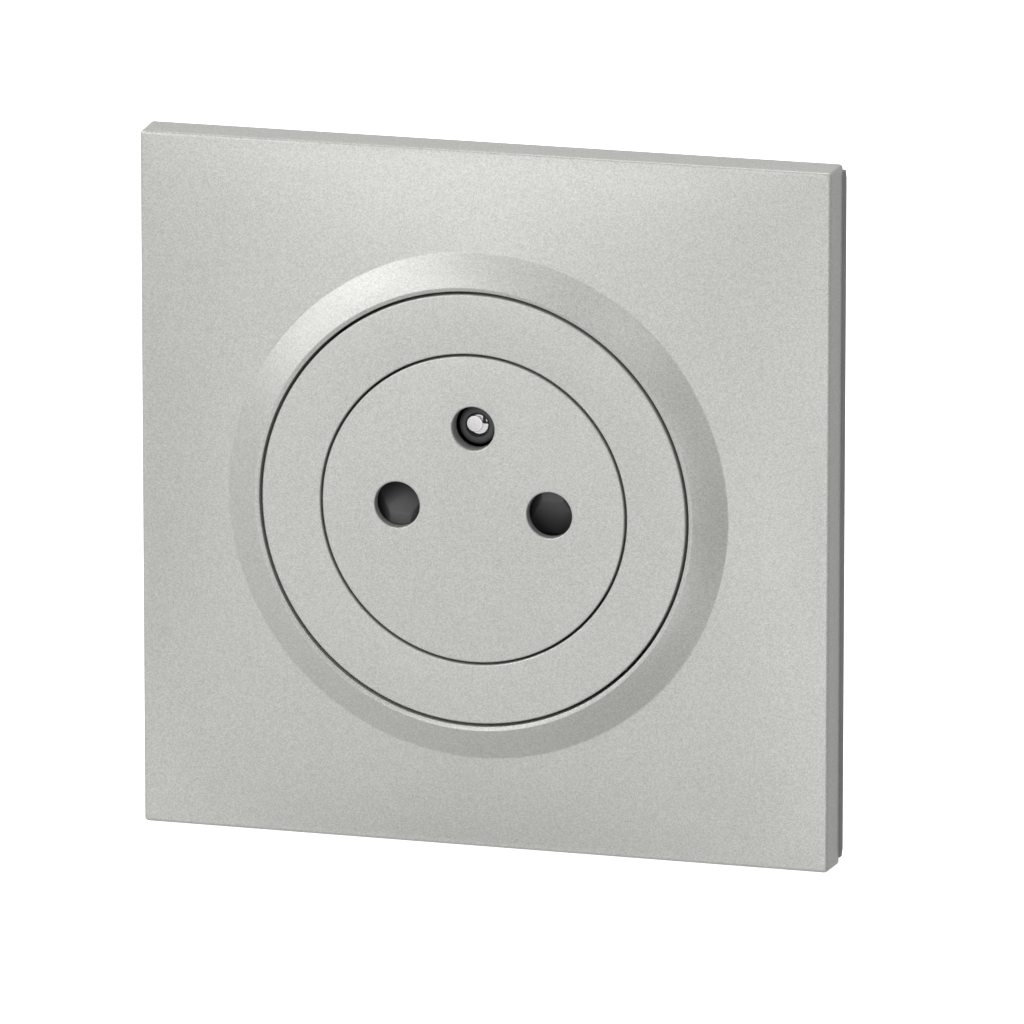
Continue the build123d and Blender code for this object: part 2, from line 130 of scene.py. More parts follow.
@dataclass(frozen=True)
class Crown:
    """Gently domed face that lies level with a square's edge and full along a circle, flat in the corners."""

    half: float
    radius: float
    low: float
    rise: float
    power: float

    def fullness(self, angle: float, reach: float) -> float:
        """Share of the dome at a direction and distance, nothing along the square's edge.

        Args:
            angle: direction in the front view, in radians.
            reach: distance from the middle.

        Returns:
            The share, before it is set against the circle's.
        """
        across = abs(reach * math.cos(angle) / self.half)
        up = abs(reach * math.sin(angle) / self.half)
        return (1 - across ** self.power) * (1 - up ** self.power)

    def height(self, angle: float, reach: float) -> float:
        """Height of the face at a direction in radians and a distance from the middle."""
        return self.low + self.rise * self.fullness(angle, reach) / self.fullness(angle, self.radius)


@dataclass(frozen=True)
class Station:
    """One closed line round the plate, between a rounded square and a circle, level or on a crown."""

    height: float
    half: float = 0.0
    corner: float = 0.0
    radius: float = 0.0
    roundness: float = 0.0
    crown: Crown | None = None

    def point(self, angle: float) -> Vector:
        """The line's point in a direction of the front view, in metres.

        Args:
            angle: direction in the front view, in radians.

        Returns:
            The point.
        """
        reach = self.reach(angle)
        height = self.crown.height(angle, reach) if self.crown else self.height
        return Vector((reach * math.cos(angle), -height, reach * math.sin(angle))) * MM

    def reach(self, angle: float) -> float:
        """Distance of the line from the middle.

        Args:
            angle: direction in the front view, in radians.

        Returns:
            The distance in millimetres.
        """
        if self.roundness >= 1.0:
            return self.radius
        long = max(abs(math.cos(angle)), abs(math.sin(angle)))
        short = min(abs(math.cos(angle)), abs(math.sin(angle)))
        centre = self.half - self.corner
        square = self.half / long
        if square * short > centre:
            inside = self.corner ** 2 - (centre * (long - short)) ** 2
            square = centre * (long + short) + math.sqrt(max(inside, 0.0))
        return square + (self.radius - square) * self.roundness


class NodeSheet:
    """A material's node tree, with short ways to add and join nodes."""

    def __init__(self, name: str) -> None:
        """Starts a material with a Principled shader and an output.

        Args:
            name: name of the material.
        """
        self.material = bpy.data.materials.new(name)
        self.material.use_nodes = True
        self.tree = self.material.node_tree
        self.shader = self.tree.nodes["Principled BSDF"]
        self.place = self.tree.nodes.new("ShaderNodeTexCoord").outputs["Object"]

    def set(self, **values: object) -> None:
        """Sets plain values on the shader's own sockets, by names with underscores."""
        for name, value in values.items():
            self.shader.inputs[name.replace("_", " ")].default_value = value

    def join(self, source: Socket, socket: str) -> None:
        """Joins an output to one of the shader's sockets."""
        self.tree.links.new(source, self.shader.inputs[socket])

    def mapped(self, scale: Triple) -> Socket:
        """Object coordinates stretched along the axes.

        Args:
            scale: stretch along each axis.

        Returns:
            The coordinates.
        """
        node = self.tree.nodes.new("ShaderNodeMapping")
        node.inputs["Scale"].default_value = scale
        self.tree.links.new(self.place, node.inputs["Vector"])
        return node.outputs["Vector"]

    def noise(self, size: float, detail: float = 2.0, place: Socket | None = None) -> Socket:
        """Cloudy pattern.

        Args:
            size: width of its spots in millimetres.
            detail: number of finer layers.
            place: coordinates to use in place of the object's own.

        Returns:
            The pattern's value, about 0.5 in the middle.
        """
        node = self.tree.nodes.new("ShaderNodeTexNoise")
        node.inputs["Scale"].default_value = 1 / (size * MM)
        node.inputs["Detail"].default_value = detail
        self.tree.links.new(place or self.place, node.inputs["Vector"])
        return node.outputs["Fac"]

    def flakes(self, size: float) -> Socket:
        """Random value for each of many small cells of a size in millimetres.

        Args:
            size: width of a cell.

        Returns:
            The value.
        """
        node = self.tree.nodes.new("ShaderNodeTexVoronoi")
        node.inputs["Scale"].default_value = 1 / (size * MM)
        self.tree.links.new(self.place, node.inputs["Vector"])
        split = self.tree.nodes.new("ShaderNodeSeparateColor")
        self.tree.links.new(node.outputs["Color"], split.inputs["Color"])
        return split.outputs["Red"]

    def spread(self, source: Socket, middle: float, reach: float,
               start: float = 0.25, end: float = 0.75) -> Socket:
        """Carries a pattern's value to a range round a middle.

        Args:
            source: the pattern.
            middle: middle of the new range.
            reach: how far the new range goes to either side.
            start: value of the pattern that becomes the low end.
            end: value of the pattern that becomes the high end.

        Returns:
            The carried value.
        """
        node = self.tree.nodes.new("ShaderNodeMapRange")
        node.inputs["From Min"].default_value = start
        node.inputs["From Max"].default_value = end
        node.inputs["To Min"].default_value = middle - reach
        node.inputs["To Max"].default_value = middle + reach
        self.tree.links.new(source, node.inputs["Value"])
        return node.outputs["Result"]

    def times(self, first: Socket, second: Socket) -> Socket:
        """Product of two patterns.

        Args:
            first: one pattern.
            second: the other.

        Returns:
            The product.
        """
        node = self.tree.nodes.new("ShaderNodeMath")
        node.operation = "MULTIPLY"
        self.tree.links.new(first, node.inputs[0])
        self.tree.links.new(second, node.inputs[1])
        return node.outputs[0]

    def tinted(self, colour: Triple, strength: Socket) -> Socket:
        """A colour made lighter and darker by a pattern round 1.

        Args:
            colour: the colour.
            strength: the pattern.

        Returns:
            The new colour.
        """
        node = self.tree.nodes.new("ShaderNodeVectorMath")
        node.operation = "SCALE"
        node.inputs[0].default_value = colour
        self.tree.links.new(strength, node.inputs["Scale"])
        return node.outputs["Vector"]

    def bump(self, source: Socket, depth: float, strength: float) -> None:
        """Raises the surface by a pattern, its depth in millimetres.

        Args:
            source: the pattern.
            depth: height of the relief.
            strength: share of it that shows.
        """
        node = self.tree.nodes.new("ShaderNodeBump")
        node.inputs["Strength"].default_value = strength
        node.inputs["Distance"].default_value = depth * MM
        self.tree.links.new(source, node.inputs["Height"])
        self.join(node.outputs["Normal"], "Normal")


@dataclass(frozen=True)
class MetallicLacquer:
    """Aluminium-effect lacquer: a satin coat full of very fine flakes."""

    name: str
    colour: Triple
    metal: float
    roughness: float
    flake_size: float
    flake_contrast: float
    cloud_contrast: float
    cloud_size: float = 9.0
    grain_ratio: float = 2.2
    grain_depth: float = 0.02
    grain_strength: float = 0.25
    gloss_reach: float = 0.05

    def material(self) -> bpy.types.Material:
        """Makes the finish.

        Returns:
            The new material.
        """
        sheet = NodeSheet(self.name)
        sheet.set(Metallic=self.metal)
        flakes = sheet.spread(sheet.flakes(self.flake_size), 1, self.flake_contrast, 0.0, 1.0)
        clouds = sheet.spread(sheet.noise(self.cloud_size), 1, self.cloud_contrast)
        sheet.join(sheet.tinted(self.colour, sheet.times(flakes, clouds)), "Base Color")
        grain = sheet.noise(self.grain_ratio * self.flake_size, FINE_LAYERS)
        sheet.join(sheet.spread(grain, self.roughness, self.gloss_reach), "Roughness")
        sheet.bump(grain, self.grain_depth, self.grain_strength)
        return sheet.material


@dataclass(frozen=True)
class MouldedPlastic:
    """Moulded plastic with a fine grain and slightly uneven gloss."""

    name: str
    colour: Triple
    roughness: float
    grain_size: float = 0.25
    grain_depth: float = 0.02
    grain_strength: float = 0.35
    contrast: float = 0.08
    cloud_size: float = 4.0
    gloss_size: float = 6.0
    gloss_reach: float = 0.05
    shine: float = 0.45

    def material(self) -> bpy.types.Material:
        """Makes the finish.

        Returns:
            The new material.
        """
        sheet = NodeSheet(self.name)
        sheet.set(Metallic=0.0, Specular_IOR_Level=self.shine)
        clouds = sheet.spread(sheet.noise(self.cloud_size, FINE_LAYERS), 1, self.contrast)
        sheet.join(sheet.tinted(self.colour, clouds), "Base Color")
        grain = sheet.noise(self.grain_size, FINE_LAYERS)
        sheet.join(sheet.spread(sheet.noise(self.gloss_size), self.roughness, self.gloss_reach), "Roughness")
        sheet.bump(grain, self.grain_depth, self.grain_strength)
        return sheet.material


@dataclass(frozen=True)
class BareMetal:
    """Rolled, drawn or plated metal, with fine marks along one axis."""

    name: str
    colour: Triple
    roughness: float
    marks: Triple = (1.0, 1.0, 0.06)
    contrast: float = 0.1
    mark_size: float = 0.22
    mark_depth: float = 0.01
    mark_strength: float = 0.3
    cloud_size: float = 3.0
    gloss_reach: float = 0.07

    def material(self) -> bpy.types.Material:
        """Makes the finish.

        Returns:
            The new material.
        """
        sheet = NodeSheet(self.name)
        sheet.set(Metallic=1.0)
        lines = sheet.noise(self.mark_size, FINE_LAYERS, sheet.mapped(self.marks))
        clouds = sheet.spread(sheet.noise(self.cloud_size, FINE_LAYERS), 1, self.contrast)
        sheet.join(sheet.tinted(self.colour, clouds), "Base Color")
        sheet.join(sheet.spread(lines, self.roughness, self.gloss_reach), "Roughness")
        sheet.bump(lines, self.mark_depth, self.mark_strength)
        return sheet.material


LACQUER = MetallicLacquer("satin_lacquer", (0.60, 0.60, 0.575), metal=0.55, roughness=0.36,
                          flake_size=0.105, flake_contrast=0.17, cloud_contrast=0.012)
DARK_FRAME = MouldedPlastic("frame_plastic", (0.27, 0.27, 0.272), 0.55)
CHARCOAL = MouldedPlastic("shutter_plastic", (0.078, 0.078, 0.082), 0.36)
HOUSING = MouldedPlastic("housing_plastic", (0.075, 0.076, 0.08), 0.55, grain_size=0.3, grain_depth=0.03)
BUTTONS = MouldedPlastic("button_plastic", (0.55, 0.55, 0.53), 0.45)
ZINC = BareMetal("zinc_sheet", (0.62, 0.62, 0.63), 0.34, marks=(1.0, 1.0, 0.08), contrast=0.16)
SPRING = BareMetal("spring_wire", (0.45, 0.45, 0.46), 0.30)
BRASS = BareMetal("contact_strip", (0.72, 0.52, 0.24), 0.28, marks=(0.08, 1.0, 1.0))
NICKEL = BareMetal("pin_nickel", (0.74, 0.72, 0.73), 0.30, marks=(1.0, 0.08, 1.0), contrast=0.04)


class Wardrobe:
    """Makes each finish once and hands it out."""

    finishes = {
        Slot.LACQUER: LACQUER, Slot.FRAME: DARK_FRAME, Slot.CHARCOAL: CHARCOAL, Slot.HOUSING: HOUSING,
        Slot.BUTTON: BUTTONS, Slot.ZINC: ZINC, Slot.SPRING: SPRING, Slot.BRASS: BRASS, Slot.NICKEL: NICKEL,
    }

    def __init__(self) -> None:
        """Starts with no finish made."""
        self.made: dict[Slot, bpy.types.Material] = {}

    def material(self, slot: Slot) -> bpy.types.Material:
        """The finish of a slot.

        Args:
            slot: the slot.

        Returns:
            Its material.
        """
        if slot not in self.made:
            self.made[slot] = self.finishes[slot].material()
        return self.made[slot]

    def dress(self, piece: Piece, slot: Slot) -> None:
        """Gives a new piece its finish.

        Args:
            piece: the piece.
            slot: the slot of its finish.
        """
        piece.data.materials.clear()
        piece.data.materials.append(self.material(slot))

    def dress_node(self, node: str, slot: Slot) -> None:
        """Gives a node of the frame its finish.

        Args:
            node: name of the node.
            slot: the slot of its finish.
        """
        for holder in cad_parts[node].material_slots:
            holder.material = self.material(slot)
        log.info("finish %s on %s", slot.value, node)


class Bench:
    """Modelling steps that the pieces share."""

    @staticmethod
    def clear() -> None:
        """Leaves edit mode and selects nothing."""
        if bpy.context.mode != "OBJECT":
            bpy.ops.object.mode_set(mode="OBJECT")
        bpy.ops.object.select_all(action="DESELECT")

    @staticmethod
    def pick(piece: Piece) -> None:
        """Selects one piece alone.

        Args:
            piece: the piece.
        """
        Bench.clear()
        piece.select_set(True)
        bpy.context.view_layer.objects.active = piece

    @staticmethod
    def named(name: str) -> Piece:
        """Names the object that was just added, and its mesh.

        Args:
            name: the name.

        Returns:
            The object.
        """
        piece = bpy.context.object
        piece.name = name
        piece.data.name = name
        return piece

    @staticmethod
    def edit(piece: Piece) -> None:
        """Opens one piece in edit mode with all of it selected.

        Args:
            piece: the piece.
        """
        Bench.pick(piece)
        bpy.ops.object.mode_set(mode="EDIT")
        bpy.ops.mesh.select_all(action="SELECT")

    @staticmethod
    def bare_point(name: str, place: Vector) -> Piece:
        """Starts a piece as one selected point, in edit mode.

        Args:
            name: name of the piece.
            place: the point, in metres.

        Returns:
            The new object.
        """
        Bench.clear()
        bpy.ops.mesh.primitive_plane_add(size=MM)
        piece = Bench.named(name)
        Bench.edit(piece)
        bpy.ops.mesh.merge(type="CENTER")
        bpy.ops.mesh.select_all(action="SELECT")
        bpy.ops.transform.translate(value=place)
        return piece

    @staticmethod
    def draw(name: str, points: list[Vector], closed: bool) -> Piece:
        """Draws a line by extruding a point from place to place.

        Args:
            name: name of the piece.
            points: the line's points, in metres.
            closed: whether the line returns to its start.

        Returns:
            The new object, left in edit mode.
        """
        piece = Bench.bare_point(name, points[0])
        trip = points + points[:1] if closed else points
        for first, second in zip(trip, trip[1:]):
            bpy.ops.mesh.extrude_region_move(TRANSFORM_OT_translate={"value": second - first})
        Bench.weld()
        return piece

    @staticmethod
    def weld() -> None:
        """Merges points that coincide."""
        bpy.ops.mesh.select_all(action="SELECT")
        bpy.ops.mesh.remove_doubles(threshold=MERGE * MM)

    @staticmethod
    def close(piece: Piece, sharp: float = 35.0) -> None:
        """Welds a piece, turns its faces outward and smooths what is nearly level.

        Args:
            piece: the piece to close.
            sharp: angle in degrees above which an edge stays sharp.
        """
        Bench.edit(piece)
        Bench.weld()
        bpy.ops.mesh.normals_make_consistent(inside=False)
        Bench.pick(piece)
        bpy.ops.object.shade_smooth_by_angle(angle=math.radians(sharp))
        Bench.clear()

    @staticmethod
    def turn(name: str, corners: list[Corner], steps: int) -> Piece:
        """Turns an outline of radii and heights about the socket's axis.

        Args:
            name: name of the piece.
            corners: the outline, in millimetres, closed unless it starts and ends on the axis.
            steps: faces round the axis.

        Returns:
            The turned object.
        """
        closed = corners[0].across > 0
        points = [Vector((x, -height, 0)) * MM for x, height in rounded(corners, closed)]
        piece = Bench.draw(name, points, closed)
        bpy.ops.mesh.select_all(action="SELECT")
        bpy.ops.mesh.spin(steps=steps, angle=math.tau, center=(0, 0, 0), axis=(0, 1, 0))
        Bench.close(piece)
        return piece

    @staticmethod
    def shift(piece: Piece, move: Triple) -> None:
        """Moves a piece's mesh by millimetres, with its object left at the origin.

        Args:
            piece: the piece.
            move: the way to move along each axis.
        """
        Bench.edit(piece)
        bpy.ops.transform.translate(value=Vector(move) * MM)
        Bench.clear()

    @staticmethod
    def block(name: str, low: Triple, high: Triple) -> Piece:
        """Starts a piece as a block between two corners, its object at the origin.

        Args:
            name: name of the piece.
            low: corner with the lowest places, in millimetres.
            high: corner with the highest places.

        Returns:
            The block.
        """
        Bench.clear()
        size = Vector(high) - Vector(low)
        bpy.ops.mesh.primitive_cube_add(size=MM)
        piece = Bench.named(name)
        Bench.edit(piece)
        bpy.ops.transform.resize(value=size)
        bpy.ops.transform.translate(value=(Vector(low) + Vector(high)) / 2 * MM)
        Bench.clear()
        return piece

    @staticmethod
    def prism(name: str, outline: list[tuple[float, float]], front: float, rear: float) -> Piece:
        """Raises a closed outline of the front view into a block.

        Args:
            name: name of the piece.
            outline: pairs of across and up, in millimetres.
            front: height of its front face.
            rear: height of its rear face.

        Returns:
            The closed piece.
        """
        piece = Bench.draw(name, [Vector((across, -front, up)) * MM for across, up in outline], True)
        bpy.ops.mesh.select_all(action="SELECT")
        bpy.ops.mesh.edge_face_add()
        bpy.ops.mesh.extrude_region_move(TRANSFORM_OT_translate={"value": (0, (front - rear) * MM, 0)})
        Bench.close(piece)
        return piece

    @staticmethod
    def soften(piece: Piece, width: float, segments: int = 3, angle: float = 30.0) -> None:
        """Rounds a piece's sharp edges by a width in millimetres.

        Args:
            piece: the piece.
            width: width of the round.
            segments: faces across it.
            angle: least turn of an edge that is rounded, in degrees.
        """
        bevel = piece.modifiers.new("edges", "BEVEL")
        bevel.width = width * MM
        bevel.segments = segments
        bevel.limit_method = "ANGLE"
        bevel.angle_limit = math.radians(angle)
        Bench.apply(piece, bevel)

    @staticmethod
    def apply(piece: Piece, modifier: bpy.types.Modifier) -> None:
        """Applies a modifier to its piece."""
        Bench.pick(piece)
        bpy.ops.object.modifier_apply(modifier=modifier.name)

    @staticmethod
    def combine(piece: Piece, other: Piece, blend: Blend) -> None:
        """Adds another piece's space to a piece, or takes it out, and removes the other.

        Args:
            piece: the piece that stays.
            other: the piece that acts on it.
            blend: whether its space is added or taken out.
        """
        boolean = piece.modifiers.new("combine", "BOOLEAN")
        boolean.operation = blend.value
        boolean.solver = "EXACT"
        boolean.object = other
        Bench.apply(piece, boolean)
        bpy.data.objects.remove(other)

    @staticmethod
    def join(first: Piece, others: list[Piece]) -> None:
        """Joins pieces into the first one.

        Args:
            first: the piece that stays.
            others: the pieces that go into it.
        """
        Bench.clear()
        for piece in [first, *others]:
            piece.select_set(True)
        bpy.context.view_layer.objects.active = first
        bpy.ops.object.join()
        Bench.clear()

    @staticmethod
    def copies_round(piece: Piece, angles: tuple[int, ...]) -> list[Piece]:
        """Copies a piece to angles round the axis, each copy with its own mesh.

        Args:
            piece: the piece, which stays where it is.
            angles: turns about the axis in degrees.

        Returns:
            The copies.
        """
        made = []
        for angle in angles:
            copy = piece.copy()
            copy.data = piece.data.copy()
            copy.data.transform(Matrix.Rotation(math.radians(angle), 4, "Y"))
            bpy.context.collection.objects.link(copy)
            made.append(copy)
        return made


def rounded(corners: list[Corner], closed: bool = True, step: float = 15.0) -> list[tuple[float, float]]:
    """Points of an outline with its corners rounded.

    Args:
        corners: the outline's corners in order.
        closed: whether the last corner joins the first.
        step: largest turn in degrees between two points of a rounded corner.

    Returns:
        Pairs of across and height.
    """
    points = []
    for index, corner in enumerate(corners):
        here = Vector((corner.across, corner.height))
        ends = not closed and index in (0, len(corners) - 1)
        if corner.fillet <= 0 or ends:
            points.append(tuple(here))
            continue
        before = corners[index - 1]
        after = corners[(index + 1) % len(corners)]
        back = (Vector((before.across, before.height)) - here).normalized()
        ahead = (Vector((after.across, after.height)) - here).normalized()
        opening = back.angle(ahead)
        centre = here + (back + ahead).normalized() * (corner.fillet / math.sin(opening / 2))
        start = here + back * (corner.fillet / math.tan(opening / 2)) - centre
        turn = (math.pi - opening) * (1 if ahead.cross(back) > 0 else -1)
        count = max(2, math.ceil(abs(math.degrees(turn)) / step))
        for number in range(count + 1):
            angle = turn * number / count
            spun = Vector((start.x * math.cos(angle) - start.y * math.sin(angle),
                           start.x * math.sin(angle) + start.y * math.cos(angle)))
            points.append(tuple(centre + spun))
    return points


def square_skin(name: str, stations: list[Station], corner: float, cuts: int) -> Piece:
    """Skins a ring-shaped piece by extruding one closed line from station to station and back to the first.

    Args:
        name: name of the piece.
        stations: the lines in order, all round the same middle.
        corner: corner radius of the line that the skin starts from.
        cuts: points along each side of that line.

    Returns:
        The closed piece.
    """
    Bench.clear()
    bpy.ops.mesh.primitive_plane_add(size=2 * stations[0].half * MM)
    piece = Bench.named(name)
    Bench.edit(piece)
    bpy.ops.mesh.bevel(offset=corner * MM, segments=CORNER_STEPS, affect="VERTICES")
    bpy.ops.mesh.select_all(action="SELECT")
    bpy.ops.mesh.delete(type="ONLY_FACE")
    mesh = bmesh.from_edit_mesh(piece.data)
    for edge in mesh.edges:
        edge.select_set(edge.calc_length() > stations[0].half * MM)
    bmesh.update_edit_mesh(piece.data)
    bpy.ops.mesh.subdivide(number_cuts=cuts)
    bpy.ops.mesh.select_all(action="SELECT")
    bpy.ops.transform.rotate(value=math.pi / 2, orient_axis="X", center_override=(0, 0, 0))
    for number, station in enumerate(stations + stations[:1]):
        if number:
            bpy.ops.mesh.extrude_region_move()
        mesh = bmesh.from_edit_mesh(piece.data)
        for vert in mesh.verts:
            if vert.select:
                vert.co = station.point(math.atan2(vert.co.z, vert.co.x))
        bmesh.update_edit_mesh(piece.data)
    Bench.close(piece)
    return piece


@dataclass
class CoverPlate:
    """Square plate: a crowned face that climbs to a bevelled ring, hollow behind, held by four legs."""

    wardrobe: Wardrobe
    side: float = 86.0
    draft: float = 0.15
    corner: float = 0.45
    corner_share: float = 0.5
    edge_low: float = 1.1
    edge_front: float = 5.9
    edge_round: float = 0.42
    edge_turns: tuple[int, ...] = (0, 20, 40, 60, 80)
    foot_radius: float = 31.2
    foot_height: float = 8.2
    foot_blend: float = 0.12
    foot_line: float = 0.008
    crown_power: float = 3.0
    crown_lines: int = 18
    rim_radius: float = 27.3
    rim_height: float = 10.4
    rim_drop: float = 0.2
    rim_round: float = 0.12
    opening: float = 26.8
    collar_radius: float = 28.4
    collar_end: float = 4.4
    collar_draft: float = 0.32
    wall: float = 1.8
    inner_parts: tuple[float, ...] = (0.75, 0.5, 0.25, 0.0)
    cuts: int = 96
    leg_width: float = 7.4
    leg_depth: float = 1.8
    leg_play: float = 0.1
    leg_hook: float = 1.0
    leg_round: float = 0.15
    hook_round: float = 0.3

    def stations(self) -> list[Station]:
        """The lines of the plate's skin, from its rear edge over the face and through the opening.

        Returns:
            The lines in order.
        """
        half = self.side / 2
        made = [Station(self.edge_low, half + self.draft, self.corner)]
        for turn in self.edge_turns:
            inset = self.edge_round * (1 - math.cos(math.radians(turn)))
            drop = self.edge_round * (1 - math.sin(math.radians(turn)))
            corner = self.corner - self.corner_share * inset
            made.append(Station(self.edge_front - drop, half - inset, corner))
        face_half = half - self.edge_round
        face_corner = self.corner_share * self.corner
        rise = self.foot_height - self.edge_front
        crown = Crown(face_half, self.foot_radius, self.edge_front, rise, self.crown_power)
        parts = [line / self.crown_lines for line in range(self.crown_lines)]
        for part in (*parts, 1 - self.foot_line, 1.0):
            made.append(Station(0.0, face_half, face_corner, self.foot_radius, part, crown))
        slope = (self.rim_height - self.foot_height) / (self.foot_radius - self.rim_radius)
        turned = [
            Corner(self.foot_radius, self.foot_height),
            Corner(self.foot_radius - self.foot_blend, self.foot_height + slope * self.foot_blend),
            Corner((self.foot_radius + self.rim_radius) / 2, (self.foot_height + self.rim_height) / 2),
            Corner(self.rim_radius, self.rim_height, self.rim_round),
            Corner(self.opening, self.rim_height - self.rim_drop, self.rim_round),
            Corner(self.opening - self.collar_draft, self.collar_end),
            Corner(self.collar_radius, self.collar_end),
        ]
        inner_foot = self.foot_height - self.wall
        inner_rim = inner_foot + (self.foot_radius - self.collar_radius) * slope
        circles = [*rounded(turned, False)[1:],
                   (self.collar_radius, inner_rim), (self.foot_radius, inner_foot)]
        made += [Station(height, radius=radius, roundness=1.0) for radius, height in circles]
        inner_half = half - self.wall
        inner_edge = self.edge_front - self.wall
        for part in self.inner_parts:
            height = inner_edge + (inner_foot - inner_edge) * part
            made.append(Station(height, inner_half, self.corner, self.foot_radius, part))
        made.append(Station(self.edge_low, inner_half, self.corner))
        return made

    def legs(self) -> list[Piece]:
        """The four snap legs behind the collar, each with its hook.

        Returns:
            The legs.
        """
        half = self.leg_width / 2
        outer = self.collar_radius - self.leg_play
        inner = self.opening + self.leg_play
        leg = Bench.block("leg", (inner, -self.collar_end - self.leg_hook, -half),
                          (outer, self.leg_depth - self.leg_play, half))
        hook = Bench.block("hook", (inner + self.leg_play, self.leg_play, self.leg_play - half),
                           (outer + self.leg_hook, self.leg_depth, half - self.leg_play))
        Bench.soften(leg, self.leg_round)
        Bench.soften(hook, self.hook_round)
        Bench.join(leg, [hook])
        placed = Bench.copies_round(leg, DIAGONALS)
        bpy.data.objects.remove(leg)
        return placed

    def build(self) -> None:
        """Makes the plate, which stands for its node."""
        plate = square_skin("cover_plate_shell", self.stations(), self.corner, self.cuts)
        Bench.join(plate, self.legs())
        self.wardrobe.dress(plate, Slot.LACQUER)
        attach(plate, Body.BASE.value)
        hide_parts("cover_plate")
        log.info("cover plate: %d faces", len(plate.data.polygons))


@dataclass
class BackingFrame:
    """Dark frame behind the plate's edge, with its lip inside the plate."""

    wardrobe: Wardrobe
    half: float = 42.4
    corner: float = 2.0
    strip: float = 1.1
    lip_half: float = 41.0
    window_half: float = 39.5
    lip_top: float = 3.5
    edge: float = 0.15
    edge_step: float = 45.0
    outer_corner: float = 0.4
    rail_reach: float = 1.0
    cuts: int = 8

    def widen(self, piece: Piece) -> None:
        """Draws the strip's two sides out beyond the plate's edge.

        Args:
            piece: the frame.
        """
        Bench.edit(piece)
        for side in (-1, 1):
            bpy.ops.mesh.select_all(action="DESELECT")
            mesh = bmesh.from_edit_mesh(piece.data)
            for vert in mesh.verts:
                vert.select_set(side * vert.co.x > (self.lip_half + MERGE) * MM)
            mesh.select_flush_mode()
            bmesh.update_edit_mesh(piece.data)
            bpy.ops.transform.translate(value=(side * self.rail_reach * MM, 0, 0))
        Bench.clear()

    def build(self) -> None:
        """Makes the frame, which stands for its node."""
        section = rounded([
            Corner(self.half, 0.0, self.edge), Corner(self.half, self.strip, self.edge),
            Corner(self.lip_half, self.strip), Corner(self.lip_half, self.lip_top, self.edge),
            Corner(self.window_half, self.lip_top, self.edge), Corner(self.window_half, 0.0, self.edge),
        ], step=self.edge_step)
        stations = [Station(height, half, self.outer_corner if half > self.lip_half else self.corner)
                    for half, height in section]
        piece = square_skin("backing_frame_strip", stations, self.corner, self.cuts)
        self.widen(piece)
        self.wardrobe.dress(piece, Slot.FRAME)
        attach(piece, Body.BASE.value)
        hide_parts("backing_frame")
        log.info("backing frame: %d faces", len(piece.data.polygons))


@dataclass
class FaceRing:
    """Flush ring round the centre disc, with its skirt and the four tabs that snap on the housing."""

    wardrobe: Wardrobe
    outer: float = 26.44
    well: float = 19.13
    face: float = 10.25
    wall: float = 1.8
    skirt: float = 1.5
    skirt_end: float = 1.2
    well_skirt: float = 1.35
    well_end: float = 5.7
    edge: float = 0.22
    tab_inner: float = 22.68
    tab_outer: float = 23.88
    tab_end: float = 1.7
    tab_width: float = 6.4
    tab_round: float = 0.2

    def build(self) -> None:
        """Makes the ring, which stands for its node."""
        inside = self.outer - self.skirt
        rear = self.face - self.wall
        ring = Bench.turn("face_ring_trim", [
            Corner(self.well, self.well_end), Corner(self.well, self.face, self.edge),
            Corner(self.outer, self.face, self.edge), Corner(self.outer, self.skirt_end),
            Corner(inside, self.skirt_end), Corner(inside, rear),
            Corner(self.well + self.well_skirt, rear), Corner(self.well + self.well_skirt, self.well_end),
        ], WIDE_STEPS)
        tab = Bench.block("tab", (self.tab_inner, -rear - self.wall / 2, -self.tab_width / 2),
                          (self.tab_outer, -self.tab_end, self.tab_width / 2))
        Bench.soften(tab, self.tab_round)
        tabs = Bench.copies_round(tab, QUARTERS)
        bpy.data.objects.remove(tab)
        Bench.join(ring, tabs)
        self.wardrobe.dress(ring, Slot.LACQUER)
        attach(ring, Body.BASE.value)
        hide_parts("face_ring")
        log.info("face ring: %d faces", len(ring.data.polygons))


